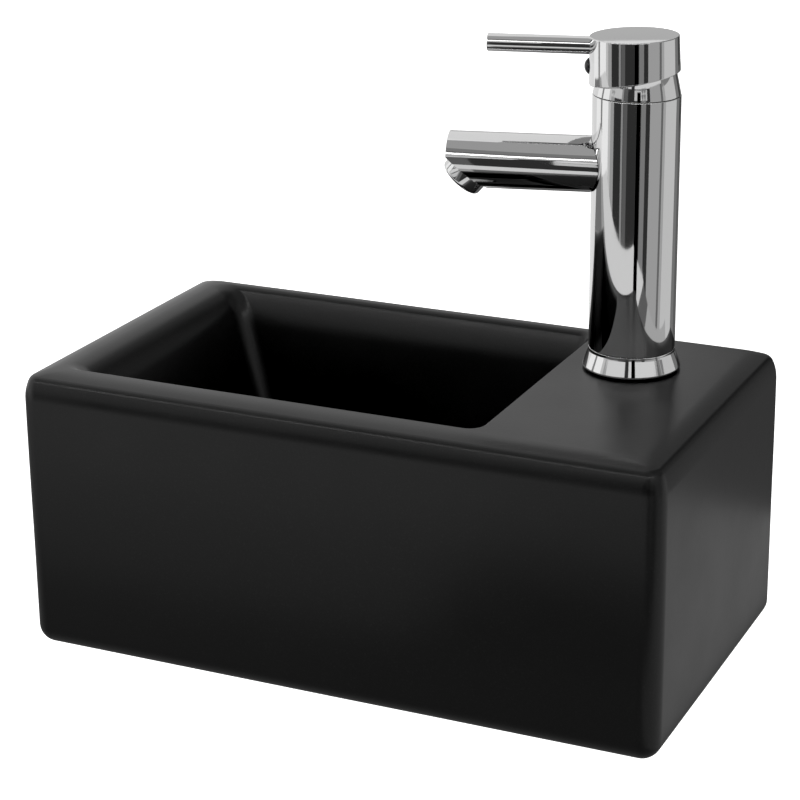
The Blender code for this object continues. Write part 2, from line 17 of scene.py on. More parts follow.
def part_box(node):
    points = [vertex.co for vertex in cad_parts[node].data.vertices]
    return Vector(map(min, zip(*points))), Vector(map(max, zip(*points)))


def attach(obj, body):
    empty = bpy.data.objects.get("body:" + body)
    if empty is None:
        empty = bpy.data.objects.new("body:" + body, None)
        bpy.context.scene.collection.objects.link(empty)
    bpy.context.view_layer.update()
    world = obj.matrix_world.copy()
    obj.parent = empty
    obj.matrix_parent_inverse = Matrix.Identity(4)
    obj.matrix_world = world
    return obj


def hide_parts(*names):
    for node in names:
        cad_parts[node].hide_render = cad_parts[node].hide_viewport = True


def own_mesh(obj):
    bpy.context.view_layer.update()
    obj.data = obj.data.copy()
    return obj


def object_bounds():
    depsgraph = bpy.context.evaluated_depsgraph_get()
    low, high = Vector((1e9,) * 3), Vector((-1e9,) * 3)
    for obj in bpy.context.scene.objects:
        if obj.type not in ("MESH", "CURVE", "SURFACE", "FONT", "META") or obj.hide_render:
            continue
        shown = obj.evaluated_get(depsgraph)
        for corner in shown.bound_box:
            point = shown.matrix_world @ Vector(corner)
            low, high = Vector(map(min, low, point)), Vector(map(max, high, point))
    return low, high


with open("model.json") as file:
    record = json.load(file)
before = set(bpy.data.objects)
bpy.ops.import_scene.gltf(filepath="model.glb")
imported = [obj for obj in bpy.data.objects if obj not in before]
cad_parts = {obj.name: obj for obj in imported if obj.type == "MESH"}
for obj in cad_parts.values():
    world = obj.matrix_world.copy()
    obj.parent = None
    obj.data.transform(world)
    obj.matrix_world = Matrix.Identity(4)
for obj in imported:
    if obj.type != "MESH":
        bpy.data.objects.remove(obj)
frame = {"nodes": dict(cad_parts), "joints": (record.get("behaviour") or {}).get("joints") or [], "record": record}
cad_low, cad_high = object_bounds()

# ---- places read from the frame ----------------------------------------------------------------
BASIN_LOW, BASIN_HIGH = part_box("basin_body")
RIM = BASIN_HIGH.z
TAP_LOW, TAP_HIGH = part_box("tap_body")
TAP_X = (TAP_LOW.x + TAP_HIGH.x) / 2
TAP_Y = (TAP_LOW.y + TAP_HIGH.y) / 2
WASTE_LOW, WASTE_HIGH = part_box("waste_body")
WASTE_X = (WASTE_LOW.x + WASTE_HIGH.x) / 2
WASTE_Y = (WASTE_LOW.y + WASTE_HIGH.y) / 2
JOINTS = {joint["name"]: joint for joint in frame["joints"]}
SPOUT_WAY = Vector(JOINTS["disc_slide"]["axis"])
LIFT_PIVOT = Vector(JOINTS["lever_lift"]["pos_m"])

# ---- basin, heights below the rim and positions in plan ----------------------------------------
CORNER_R = 0.0105              # rounding of the upright edges and of the foot
TOP_R = 0.005                  # the top edge turns tightly, then eases into the face
TOP_TURN = radians(65)
TOP_EASE_R = 0.024
CROWN = (0.0080, 0.0120, 0.0112, 0.0030)   # how much earlier the rim starts to fall: left,
CROWN_DROP = 0.0014                        # right, front and back; and how far it falls there
CROWN_END = radians(14)
WALL = 0.0125
LEDGE_THICK = 0.011
BOWL_WALL = 0.009
BOWL_DEPTH = 0.105
BOWL_CORNER_R = 0.009
BOWL_FLOOR_R = 0.022
# Each side of the bowl: the rim's inner edge, the radius it rolls over, the turn of that roll,
# the radius it then eases over, and the wall's slope.
BOWL_LEFT = (-0.1650, 0.022, radians(71), 0.022, radians(19))
BOWL_RIGHT = (0.0785, 0.003, radians(82), 0.003, radians(8))
BOWL_FRONT = (-0.1805, 0.003, radians(82), 0.003, radians(8))
BOWL_BACK = (-0.0110, 0.0045, radians(62), 0.055, radians(8))
SEAT_R = 0.0330
SEAT_DROP = 0.003
WASTE_HOLE_R = 0.0225
TAP_HOLE_R = 0.0175
FIXING_X = 0.153
FIXING_HOLE_R = 0.006
BULGE = 0.0005                 # how far the fired clay swells in the middle of a wall

# ---- tap, heights above the rim ----------------------------------------------------------------
BODY_R = 0.0230
BODY_FOOT = 0.0120
SEAM = 0.1480
SPOUT_Z = 0.1100
SPOUT_R = 0.0148
SPOUT_REACH = 0.0978
SPOUT_CUT = radians(41.2)
LEVER_Z = 0.1725
LEVER_R = 0.0047
LEVER_TIP = 0.0778
CAP_OFFSET = 0.0011
CAP_LEAN = radians(1.5)

# ---- plug spring, heights above the bowl's floor -----------------------------------------------
SPRING_WIRE_R = 0.0004
SPRING_R = 0.0046
SPRING_LOW = -0.0268
SPRING_HIGH = -0.0132
SPRING_TURNS = 6

# ---- smoothness --------------------------------------------------------------------------------
ROUND = 96                     # sides of the large turned pieces
SMALL_ROUND = 48
SIDE_STEPS = 12                # points along each side of a rounded rectangle
CORNER_STEPS = 8

# ---- studio and camera -------------------------------------------------------------------------
TENT_R = 2.4
TENT_MIDDLE = Vector((TAP_X, TAP_Y, RIM + 0.10))
PALE = 1.05                    # brightness of the floor and the background
TABLE_LEFT = -1.2
TABLE_RIGHT = 0.53
TABLE_BACK = 0.15
BLACK_LEVEL = 0.003            # light that prints as black
SENSOR_MM = 36
LENS_MM = 106.7355
CAMERA_PLACE = (0.5101, -1.1900, RIM + 0.4140)
CAMERA_DIP = 0.3222            # radians below level
CAMERA_TURN = 0.405            # radians to the left of straight at the wall


# ---- frames of the tap -------------------------------------------------------------------------
def upright(x, y, z):
    return Matrix.Translation((x, y, z))


RIM_FRAME = upright(0, 0, RIM)
WASTE_FRAME = upright(WASTE_X, WASTE_Y, RIM - BOWL_DEPTH)
TAP_TURN = atan2(SPOUT_WAY.y, SPOUT_WAY.x)
TAP_FRAME = upright(TAP_X, TAP_Y, RIM) @ Matrix.Rotation(TAP_TURN, 4, "Z")
LIFT_FRAME = TAP_FRAME @ upright(0, 0, LIFT_PIVOT.z - RIM)
CAP_FRAME = LIFT_FRAME @ upright(CAP_OFFSET, 0, 0) @ Matrix.Rotation(CAP_LEAN, 4, "Y")
ALONG = Matrix.Rotation(pi / 2, 4, "Y")
LEVER_FRAME = LIFT_FRAME @ upright(0, 0, LEVER_Z + RIM - LIFT_PIVOT.z) @ ALONG
BUTTON_FRAME = LIFT_FRAME @ upright(0, 0, 0.0118) @ ALONG
OUTLET_FRAME = (TAP_FRAME @ upright(SPOUT_REACH - 0.0105, 0, SPOUT_Z - 0.0052)
                @ Matrix.Rotation(-SPOUT_CUT, 4, "Y"))


# ---- materials ---------------------------------------------------------------------------------
def shader_of(material):
    return material.node_tree.nodes["Principled BSDF"]


def new_material(name, **values):
    """A Principled material; every value given here is a constant on the shader's own socket."""
    material = bpy.data.materials.new(name)
    material.use_nodes = True
    shader = shader_of(material)
    for key, value in values.items():
        socket = shader.inputs[key.replace("_", " ")]
        socket.default_value = (*value, 1.0) if isinstance(value, tuple) else value
    return material


def node(material, kind, **values):
    made = material.node_tree.nodes.new(kind)
    for key, value in values.items():
        if key in made.inputs.keys():
            made.inputs[key].default_value = value
        else:
            setattr(made, key, value)
    return made


def wire(material, source, output, target, socket):
    material.node_tree.links.new(source.outputs[output], target.inputs[socket])


def object_space(material, stretch=(1, 1, 1)):
    """Coordinates fixed to the piece, in metres, optionally stretched."""
    coordinates = node(material, "ShaderNodeTexCoord")
    mapping = node(material, "ShaderNodeMapping", Scale=stretch)
    wire(material, coordinates, "Object", mapping, "Vector")
    return mapping


def noise_field(material, mapping, scale, detail):
    field = node(material, "ShaderNodeTexNoise", Scale=scale, Detail=detail, Roughness=0.5)
    wire(material, mapping, "Vector", field, "Vector")
    return field


def vary(material, field, socket, low, high):
    """Runs a field through a range into a number of the shader."""
    ramp = node(material, "ShaderNodeMapRange")
    ramp.inputs["From Min"].default_value = 0.3
    ramp.inputs["From Max"].default_value = 0.7
    ramp.inputs["To Min"].default_value = low
    ramp.inputs["To Max"].default_value = high
    wire(material, field, "Fac", ramp, "Value")
    wire(material, ramp, "Result", shader_of(material), socket)


def tint(material, field, low, high, start=0.35, end=0.65):
    """Runs a field through two colours into the base colour."""
    ramp = node(material, "ShaderNodeValToRGB")
    ramp.color_ramp.elements[0].position = start
    ramp.color_ramp.elements[1].position = end
    ramp.color_ramp.elements[0].color = (*low, 1)
    ramp.color_ramp.elements[1].color = (*high, 1)
    wire(material, field, "Fac", ramp, "Fac")
    wire(material, ramp, "Color", shader_of(material), "Base Color")


def bump(material, field, height, previous=None):
    """Adds a bump layer; height is in metres."""
    made = node(material, "ShaderNodeBump", Strength=1.0, Distance=height)
    wire(material, field, "Fac", made, "Height")
    if previous is not None:
        wire(material, previous, "Normal", made, "Normal")
    wire(material, made, "Normal", shader_of(material), "Normal")
    return made


def make_glaze():
    """Matt black glaze: satin sheen, faint orange peel and a few pale specks."""
    glaze = new_material("black_glaze", Base_Color=(0.006, 0.006, 0.006), Roughness=0.30,
                         IOR=1.45)
    space = object_space(glaze)
    cloud = noise_field(glaze, space, 22.0, 3.0)
    vary(glaze, cloud, "Roughness", 0.28, 0.33)
    speck = noise_field(glaze, space, 900.0, 1.0)
    tint(glaze, speck, (0.0055, 0.0055, 0.0055), (0.011, 0.011, 0.011), 0.55, 0.80)
    peel = noise_field(glaze, space, 420.0, 2.0)
    grain = noise_field(glaze, space, 2200.0, 2.0)
    layer = bump(glaze, peel, 0.00002)
    bump(glaze, grain, 0.000006, layer)
    return glaze


def make_chrome():
    """Polished plate: nearly a mirror, with the slight unevenness of buffed metal."""
    chrome = new_material("chrome", Base_Color=(0.78, 0.78, 0.78), Metallic=1.0, Roughness=0.05)
    space = object_space(chrome)
    smear = noise_field(chrome, space, 60.0, 3.0)
    vary(chrome, smear, "Roughness", 0.030, 0.065)
    wave = noise_field(chrome, space, 55.0, 1.0)
    bump(chrome, wave, 0.00002)
    return chrome


def make_metal(name, colour, roughness, lines):
    """Machined metal with fine turning lines round the vertical axis."""
    metal = new_material(name, Base_Color=colour, Metallic=1.0, Roughness=roughness)
    space = object_space(metal, (1, 1, lines))
    cut = noise_field(metal, space, 260.0, 3.0)
    vary(metal, cut, "Roughness", roughness * 0.75, roughness * 1.3)
    tint(metal, cut, tuple(c * 0.86 for c in colour), colour)
    bump(metal, cut, 0.00003)
    return metal


def make_dull(name, colour, roughness, grain, height):
    """Rubber, plastic and unglazed ceramic: fine grain and a little variation."""
    dull = new_material(name, Base_Color=colour, Roughness=roughness)
    space = object_space(dull)
    fine = noise_field(dull, space, grain, 2.0)
    vary(dull, fine, "Roughness", roughness * 0.88, min(1.0, roughness * 1.12))
    tint(dull, fine, tuple(c * 0.88 for c in colour), colour)
    bump(dull, fine, height)
    return dull


MATERIALS = {
    "black_glaze": make_glaze(),
    "chrome": make_chrome(),
    "brass": make_metal("brass", (0.72, 0.53, 0.24), 0.28, 9.0),
    "steel": make_metal("steel", (0.58, 0.59, 0.60), 0.30, 9.0),
    "rubber": make_dull("rubber", (0.018, 0.018, 0.018), 0.62, 900.0, 0.00004),
    "white_plastic": make_dull("white_plastic", (0.78, 0.78, 0.75), 0.42, 1200.0, 0.00001),
    "grey_plastic": make_dull("grey_plastic", (0.26, 0.27, 0.29), 0.46, 1200.0, 0.00001),
    "black_plastic": make_dull("black_plastic", (0.02, 0.02, 0.022), 0.16, 1200.0, 0.000004),
    "alumina": make_dull("alumina", (0.86, 0.85, 0.81), 0.22, 1500.0, 0.000004),
}


def dress_cad_nodes():
    """Gives every carried-over CAD node the procedural material of its slot."""
    for part in frame["record"]["subparts"]:
        carried = frame["nodes"][part["node"]]
        finish = MATERIALS[part["material_slot"]]
        if not carried.material_slots:
            carried.data.materials.append(finish)
        for slot in carried.material_slots:
            slot.material = finish


# ---- mesh tools --------------------------------------------------------------------------------
def finish_piece(name, mesh, place, slot, body, replaced, sharp=30):
    """Puts a mesh in the scene as a piece that rides on a body and stands for CAD nodes."""
    mesh.transform(place)
    mesh.shade_smooth()
    mesh.set_sharp_from_angle(angle=radians(sharp))
    piece = bpy.data.objects.new(name, mesh)
    bpy.context.scene.collection.objects.link(piece)
    mesh.materials.append(MATERIALS[slot])
    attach(piece, body)
    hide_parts(*replaced)
    return piece


def arc(centre, radius, start, end, steps):
    """Points of an arc, angles in degrees from the first axis towards the second."""
    points = []
    for step in range(steps + 1):
        angle = radians(start + (end - start) * step / steps)
        points.append((centre[0] + radius * cos(angle), centre[1] + radius * sin(angle)))
    return points


def softened(corners, closed=True, steps=4):
    """A profile from corners (radius, height, rounding); each corner becomes a small arc."""
    points = []
    count = len(corners)
    for i, (x, z, rounding) in enumerate(corners):
        here = Vector((x, z))
        if rounding == 0 or (not closed and i in (0, count - 1)):
            points.append((x, z))
            continue
        before = Vector(corners[i - 1][:2]) - here
        after = Vector(corners[(i + 1) % count][:2]) - here
        half = before.angle(after) / 2
        reach = min(rounding / tan(half), before.length * 0.49, after.length * 0.49)
        start = here + before.normalized() * reach
        end = here + after.normalized() * reach
        middle = (before.normalized() + after.normalized()).normalized()
        centre = here + middle * (reach / cos(half))
        radius = (start - centre).length
        sweep = (start - centre).angle_signed(end - centre)
        first = atan2(start.y - centre.y, start.x - centre.x)
        for step in range(steps + 1):
            angle = first - sweep * step / steps
            points.append((centre.x + radius * cos(angle), centre.y + radius * sin(angle)))
    return points


def turned_mesh(name, profile, sides=ROUND, slant=None):
    """Turns a profile (radius, height) round Z. A profile that starts above zero is a ring.

    slant(radius, height) gives the rise per metre towards +X of the circle at that point.
    """
    bm = bmesh.new()
    rings = []
    for radius, height in profile:
        if radius < 1e-7:
            rings.append([bm.verts.new((0, 0, height))])
            continue
        rise = slant(radius, height) if slant else 0.0
        circle = []
        for side in range(sides):
            angle = 2 * pi * side / sides
            x = radius * cos(angle)
            circle.append(bm.verts.new((x, radius * sin(angle), height + rise * x)))
        rings.append(circle)
    pairs = list(zip(rings, rings[1:]))
    if len(rings[0]) > 1 and len(rings[-1]) > 1:
        pairs.append((rings[-1], rings[0]))
    for upper, lower in pairs:
        for i in range(sides):
            j = (i + 1) % sides
            face = [upper[i % len(upper)], lower[i % len(lower)],
                    lower[j % len(lower)], upper[j % len(upper)]]
            bm.faces.new(list(dict.fromkeys(face)))
    bmesh.ops.recalc_face_normals(bm, faces=bm.faces)
    mesh = bpy.data.meshes.new(name)
    bm.to_mesh(mesh)
    bm.free()
    return mesh


def rod_mesh(name, radius, low, high, sides=SMALL_ROUND):
    return turned_mesh(name, [(0, high), (radius, high), (radius, low), (0, low)], sides)


def box_mesh(name, low, high):
    bm = bmesh.new()
    bmesh.ops.create_cube(bm, size=1.0)
    size = Vector(high) - Vector(low)
    middle = (Vector(high) + Vector(low)) / 2
    for vert in bm.verts:
        vert.co = Vector(a * b for a, b in zip(vert.co, size)) + middle
    mesh = bpy.data.meshes.new(name)
    bm.to_mesh(mesh)
    bm.free()
    return mesh


def carved(mesh, tools, bevel=0.0):
    """Cuts or joins tools, given as (mesh, matrix, operation), into a mesh and returns the result.

    A bevel, in metres, softens the edges sharper than 35 degrees.
    """
    scene = bpy.context.scene.collection
    target = bpy.data.objects.new(mesh.name + "_carving", mesh)
    scene.objects.link(target)
    helpers = []
    for tool_mesh, matrix, operation in tools:
        helper = bpy.data.objects.new(tool_mesh.name, tool_mesh)
        helper.matrix_world = matrix
        scene.objects.link(helper)
        helpers.append(helper)
        step = target.modifiers.new("carve", "BOOLEAN")
        step.operation = operation
        step.solver = "EXACT"
        step.object = helper
    if bevel:
        soften = target.modifiers.new("soften", "BEVEL")
        soften.width = bevel
        soften.segments = 3
        soften.limit_method = "ANGLE"
        soften.angle_limit = radians(35)
        soften.harden_normals = False
    bpy.context.view_layer.update()
    graph = bpy.context.evaluated_depsgraph_get()
    result = bpy.data.meshes.new_from_object(target.evaluated_get(graph))
    name = mesh.name
    for used in helpers + [target]:
        bpy.data.objects.remove(used, do_unlink=True)
    mesh.name = name + "_uncut"
    result.name = name
    return result


# ---- basin -------------------------------------------------------------------------------------
def outline(left, right, front, back, radius):
    """A rounded rectangle with the same count of points whatever its size."""
    corners = ((right, back, 0, (-1, -1)), (left, back, 90, (1, -1)),
               (left, front, 180, (1, 1)), (right, front, 270, (-1, 1)))
    arcs = []
    for x, y, start, inward in corners:
        centre = (x + inward[0] * radius, y + inward[1] * radius)
        arcs.append(arc(centre, radius, start, start + 90, CORNER_STEPS))
    points = []
    for i, corner in enumerate(arcs):
        points += corner
        begin = Vector(corner[-1])
        end = Vector(arcs[(i + 1) % 4][0])
        for step in range(1, SIDE_STEPS):
            points.append(tuple(begin.lerp(end, step / SIDE_STEPS)))
    return points


def between(first, second, share):
    return [(a[0] + (b[0] - a[0]) * share, a[1] + (b[1] - a[1]) * share)
            for a, b in zip(first, second)]


def circle_like(points, x, y, radius):
    """A circle whose points lie in the directions of the given outline's points."""
    made = []
    for px, py in points:
        angle = atan2(py - y, px - x)
        made.append((x + radius * cos(angle), y + radius * sin(angle)))
    return made


def wall_run(side, depth):
    """How far a side has come in at a depth: a roll, a longer easing and a straight slope."""
    _, roll, turn, ease, slope = side
    roll_depth = roll * (1 - cos(turn))
    if depth < roll_depth:
        return sqrt(2 * roll * depth - depth * depth)
    ease_depth = roll_depth + ease * (cos(turn) - sin(slope))
    angle = acos(max(cos(turn) - (depth - roll_depth) / ease, sin(slope)))
    run = roll * sin(turn) + ease * (sin(angle) - sin(turn))
    return run + max(0.0, depth - ease_depth) * tan(slope)


def bowl_outline(depth, inset=0.0, grow=0.0):
    """The bowl at a depth below the rim; grown, it is the outside and stays in the cavity."""
    change = inset - grow
    left = BOWL_LEFT[0] + wall_run(BOWL_LEFT, depth) + change
    right = BOWL_RIGHT[0] - wall_run(BOWL_RIGHT, depth) - change
    front = BOWL_FRONT[0] + wall_run(BOWL_FRONT, depth) + change
    back = BOWL_BACK[0] - wall_run(BOWL_BACK, depth) - change
    if grow:
        cavity = WALL + 0.0055
        front = max(front, BASIN_LOW.y + cavity)
        back = min(back, BASIN_HIGH.y - cavity)
    return outline(left, right, front, back, BOWL_CORNER_R + grow)


def box_outline(inset, radius):
    return outline(BASIN_LOW.x + inset, BASIN_HIGH.x - inset, BASIN_LOW.y + inset,
                   BASIN_HIGH.y - inset, radius)


def bowl_sections():
    """From the waste hole up the bowl to the edge of its opening."""
    floor_outline = bowl_outline(BOWL_DEPTH, BOWL_FLOOR_R)
    sections = []
    for radius, height in ((WASTE_HOLE_R, -SEAT_DROP), (SEAT_R - 0.001, -SEAT_DROP),
                           (SEAT_R, -SEAT_DROP + 0.001), (SEAT_R, -0.0015),
                           (SEAT_R + 0.0006, -0.0004), (SEAT_R + 0.002, 0)):
        circle = circle_like(floor_outline, WASTE_X, WASTE_Y, radius)
        sections.append((circle, -BOWL_DEPTH + height))
    last_circle = sections[-1][0]
    for share in (0.35, 0.7):
        dish = -0.0006 * (1 - share)
        sections.append((between(last_circle, floor_outline, share), -BOWL_DEPTH + dish))
    for step in range(9, -1, -1):
        angle = radians(10 * step)
        depth = BOWL_DEPTH - BOWL_FLOOR_R * (1 - sin(angle))
        inset = BOWL_FLOOR_R * (1 - cos(angle))
        sections.append((bowl_outline(depth, inset), -depth))
    low = BOWL_DEPTH - BOWL_FLOOR_R
    levels = 40
    for step in range(1, levels + 1):
        depth = low * (1 - step / levels) ** 2.4
        sections.append((bowl_outline(depth), -depth))
    return sections


def top_edge():
    """How far in and how far down the top edge's rounding lies, below the crown."""
    width = TOP_R * (sin(TOP_TURN) - sin(CROWN_END)) + TOP_EASE_R * (1 - sin(TOP_TURN))
    points = []
    turns = 10
    for step in range(turns + 1):
        angle = CROWN_END + (TOP_TURN - CROWN_END) * step / turns
        points.append((width - TOP_R * (sin(angle) - sin(CROWN_END)),
                       TOP_R * (cos(CROWN_END) - cos(angle))))
    tight_depth = points[-1][1]
    for step in range(1, turns + 1):
        angle = TOP_TURN + (pi / 2 - TOP_TURN) * step / turns
        depth = tight_depth + TOP_EASE_R * (cos(TOP_TURN) - cos(angle))
        points.append((TOP_EASE_R * (1 - sin(angle)), depth))
    return points


def corner_radius(inset):
    return max(CORNER_R - inset, 0.0004)


def crown_outline(share, edge_width):
    """Where the rim's top falls gently towards the top edge, from 0 to 1."""
    left, right, front, back = (edge_width + crown * (1 - share) for crown in CROWN)
    return outline(BASIN_LOW.x + left, BASIN_HIGH.x - right, BASIN_LOW.y + front,
                   BASIN_HIGH.y - back, corner_radius(edge_width) + 0.004 * (1 - share))


def rim_and_wall_sections():
    """Over the rim, down the outside and round the foot."""
    opening = bowl_outline(0)
    height = RIM - BASIN_LOW.z
    edge = top_edge()
    width = edge[0][0]
    sections = []
    for share in (0.03, 0.1, 0.25, 0.4, 0.55, 0.7, 0.85, 0.95):
        sections.append((between(opening, crown_outline(0, width), share), 0))
    for step in range(6):
        share = step / 6
        sections.append((crown_outline(share, width), -CROWN_DROP * share ** 2))
    for inset, depth in edge:
        sections.append((box_outline(inset, corner_radius(inset)), -CROWN_DROP - depth))
    top = CROWN_DROP + edge[-1][1]
    for step in range(1, 12):
        depth = top + (height - CORNER_R - top) * step / 12
        sections.append((box_outline(0, CORNER_R), -depth))
    for step in range(9, -1, -1):
        angle = radians(10 * step)
        inset = CORNER_R * (1 - sin(angle))
        sections.append((box_outline(inset, corner_radius(inset)),
                         -height + CORNER_R * (1 - cos(angle))))
    return sections


def underside_sections():
    """Up the inside of the walls, across under the rim and down the outside of the bowl."""
    height = RIM - BASIN_LOW.z
    corner = 0.005
    sections = []
    for depth in (height, height - 0.001, height * 0.75, height * 0.5, height * 0.25):
        sections.append((box_outline(WALL, corner), -depth))
    for step in range(0, 5):
        angle = radians(22.5 * step)
        inset = WALL + corner * (1 - cos(angle))
        depth = LEDGE_THICK + corner * (1 - sin(angle))
        sections.append((box_outline(inset, corner), -depth))
    sections.append((bowl_outline(LEDGE_THICK, 0, BOWL_WALL), -LEDGE_THICK))
    floor = BOWL_DEPTH + BOWL_WALL
    round_r = BOWL_FLOOR_R + BOWL_WALL
    for step in range(1, 6):
        depth = LEDGE_THICK + (floor - round_r - LEDGE_THICK) * step / 5
        sections.append((bowl_outline(depth, 0, BOWL_WALL), -depth))
    for step in range(1, 7):
        angle = radians(15 * step)
        depth = floor - round_r * (1 - sin(angle))
        inset = round_r * (1 - cos(angle))
        sections.append((bowl_outline(depth, inset, BOWL_WALL), -depth))
    circle = circle_like(sections[-1][0], WASTE_X, WASTE_Y, WASTE_HOLE_R)
    sections.append((circle, -floor))
    return sections


def loft(name, sections):
    """Skins a closed loop of sections, each an outline and its height."""
    bm = bmesh.new()
    rings = [[bm.verts.new((x, y, z)) for x, y in points] for points, z in sections]
    count = len(rings[0])
    for first, second in zip(rings, rings[1:] + rings[:1]):
        for i in range(count):
            j = (i + 1) % count
            bm.faces.new((first[i], second[i], second[j], first[j]))
    bmesh.ops.remove_doubles(bm, verts=bm.verts, dist=0.00001)
    bmesh.ops.recalc_face_normals(bm, faces=bm.faces)
    mesh = bpy.data.meshes.new(name)
    bm.to_mesh(mesh)
    bm.free()
    return mesh


def fired(mesh):
    """Fired clay is never quite flat: outer faces swell a little and wander by tenths."""
    height = RIM - BASIN_LOW.z
    middle = (BASIN_HIGH.x + BASIN_LOW.x) / 2
    for vert in mesh.vertices:
        point = vert.co
        across = (point.x - middle) / (BASIN_HIGH.x - BASIN_LOW.x) * 2
        down = (-point.z / height) * 2 - 1
        along = (-point.y / (BASIN_HIGH.y - BASIN_LOW.y)) * 2 - 1
        wander = noise.noise(point * 16) * 0.00022
        front = max(0.0, 1 - abs(point.y - BASIN_LOW.y) / 0.012)
        side = max(0.0, 1 - (BASIN_HIGH.x - abs(point.x)) / 0.012)
        swell_x = BULGE * (1 - along ** 2) * (1 - down ** 2)
        swell_y = BULGE * (1 - across ** 2) * (1 - down ** 2)
        point.y -= front * (swell_y + wander)
        point.x += side * (swell_x + wander) * (1 if point.x > 0 else -1)
        if point.z > -0.02:
            point.z += wander * 0.6


def make_basin():
    sections = bowl_sections() + rim_and_wall_sections() + underside_sections()
    mesh = loft("basin", sections)
    fired(mesh)
    tap_hole = rod_mesh("tap_hole", TAP_HOLE_R, -0.030, 0.010, ROUND)
    tools = [(tap_hole, upright(TAP_X, TAP_Y, 0), "DIFFERENCE")]
    for x in (-FIXING_X, FIXING_X):
        hole = rod_mesh("fixing_hole", FIXING_HOLE_R, -0.010, 0.0165, SMALL_ROUND)
        turn = Matrix.Rotation(pi / 2, 4, "X")
        tools.append((hole, upright(x, 0, -RIM) @ turn, "DIFFERENCE"))
    mesh = carved(mesh, tools)
    piece = finish_piece("basin", mesh, RIM_FRAME, "black_glaze", "root", ["basin_body"], 50)
    weighted = piece.modifiers.new("even_shading", "WEIGHTED_NORMAL")
    weighted.keep_sharp = True
    weighted.weight = 60


# ---- tap body, ring and gasket -----------------------------------------------------------------
def make_tap_body():
    chamber_r = 0.0182
    floor = 0.1120
    shank_r = 0.0165
    shank_end = -0.0060
    corners = [(0, floor, 0), (chamber_r, floor, 0.0003), (chamber_r, SEAM, 0.0003),
               (BODY_R, SEAM, 0.0004), (BODY_R, BODY_FOOT, 0.0003), (shank_r, BODY_FOOT, 0.0003),
               (shank_r, shank_end, 0.0005), (0, shank_end, 0)]
    mesh = turned_mesh("tap_tube", softened(corners, closed=False))
    tools = []
    for x, y in ((0.0015, 0.0065), (0.0015, -0.0065)):
        port = rod_mesh("inlet_port", 0.0048, shank_end - 0.003, 0.010, 32)
        tools.append((port, upright(x, y, 0), "DIFFERENCE"))
    stud_hole = rod_mesh("stud_hole", 0.0042, shank_end - 0.003, 0.010, 32)
    tools.append((stud_hole, upright(-0.0105, 0, 0), "DIFFERENCE"))
    finish_piece("tap_tube", carved(mesh, tools), TAP_FRAME, "chrome", "root", ["tap_body"])

    foot = BODY_FOOT - 0.0003
    inner = 0.0168
    low = 0.0012
    flare = softened([(inner, foot, 0), (BODY_R, foot, 0.0002), (BODY_R, 0.0102, 0.0030),
                      (0.0261, 0.0022, 0.0006), (0.0261, low, 0.0004), (inner, low, 0)], steps=6)
    finish_piece("flared_ring", turned_mesh("flared_ring", flare), TAP_FRAME, "chrome", "root",
                 ["base_flange"])
    gasket = softened([(0.0246, 0.0009, 0.0002), (0.0246, 0.0003, 0.0002), (inner, 0.0003, 0),
                       (inner, 0.0009, 0)])
    finish_piece("foot_seal", turned_mesh("foot_seal", gasket), TAP_FRAME, "rubber", "root",
                 ["base_gasket"])


# ---- spout and outlet --------------------------------------------------------------------------
def make_spout():
    place = upright(0, 0, SPOUT_Z) @ ALONG
    mesh = rod_mesh("spout_tube", SPOUT_R, 0, SPOUT_REACH, ROUND)
    mesh.transform(place)
    saddle = rod_mesh("saddle", BODY_R + 0.0002, -0.05, 0.05, 2 * ROUND)
    slant = box_mesh("slant", (-0.040, -0.040, -0.060), (0.040, 0.040, 0))
    bore = rod_mesh("bore", 0.0112, -0.010, 0.0780)
    outlet = rod_mesh("outlet", 0.0106, -0.002, 0.0100)
    outlet_place = TAP_FRAME.inverted() @ OUTLET_FRAME
    tools = [(saddle, upright(0, 0, SPOUT_Z), "DIFFERENCE"), (slant, outlet_place, "DIFFERENCE"),
             (bore, place, "DIFFERENCE"), (outlet, outlet_place, "DIFFERENCE")]
    mesh = carved(mesh, tools, bevel=0.0005)
    finish_piece("spout_tube", mesh, TAP_FRAME, "chrome", "root", ["spout"], 40)


def make_outlet():
    """The aerator collar and its insert; local -Z is the way the water leaves."""
    corners = [(0.0092, 0.0068, 0.0002), (0.0103, 0.0068, 0.0003), (0.0103, -0.0003, 0),
               (0.0119, -0.0003, 0.0004), (0.0119, -0.0078, 0.0024), (0.0080, -0.0078, 0.0005),
               (0.0080, -0.0066, 0.0002), (0.0092, -0.0066, 0.0002)]
    mesh = turned_mesh("outlet_collar", softened(corners, steps=7))
    finish_piece("outlet_collar", mesh, OUTLET_FRAME, "chrome", "root", ["aerator_collar"])

    face = -0.0062
    insert = [(0, 0.0030), (0.0089, 0.0030), (0.0089, face), (0.0080, face), (0.0078, face + 0.001),
              (0, face + 0.001)]
    mesh = turned_mesh("outlet_insert", insert, SMALL_ROUND)
    tools = []
    for ring_r, count in ((0, 1), (0.0024, 6), (0.0047, 12), (0.0067, 18)):
        for i in range(count):
            angle = 2 * pi * i / count
            hole = rod_mesh("jet", 0.0008, -0.010, -0.002, 10)
            place = upright(ring_r * cos(angle), ring_r * sin(angle), 0)
            tools.append((hole, place, "DIFFERENCE"))
    finish_piece("outlet_insert", carved(mesh, tools), OUTLET_FRAME, "grey_plastic", "root",
                 ["aerator_insert"])


# ---- handle ------------------------------------------------------------------------------------
def make_trim_ring():
    corners = [(0.0190, 0.1597, 0.0003), (0.0204, 0.1597, 0.0004), (0.0228, SEAM + 0.0003, 0.0002),
               (0.0212, SEAM + 0.0003, 0.0002)]
    finish_piece("cone_ring", turned_mesh("cone_ring", softened(corners)), TAP_FRAME, "chrome",
                 "root", ["trim_ring"])


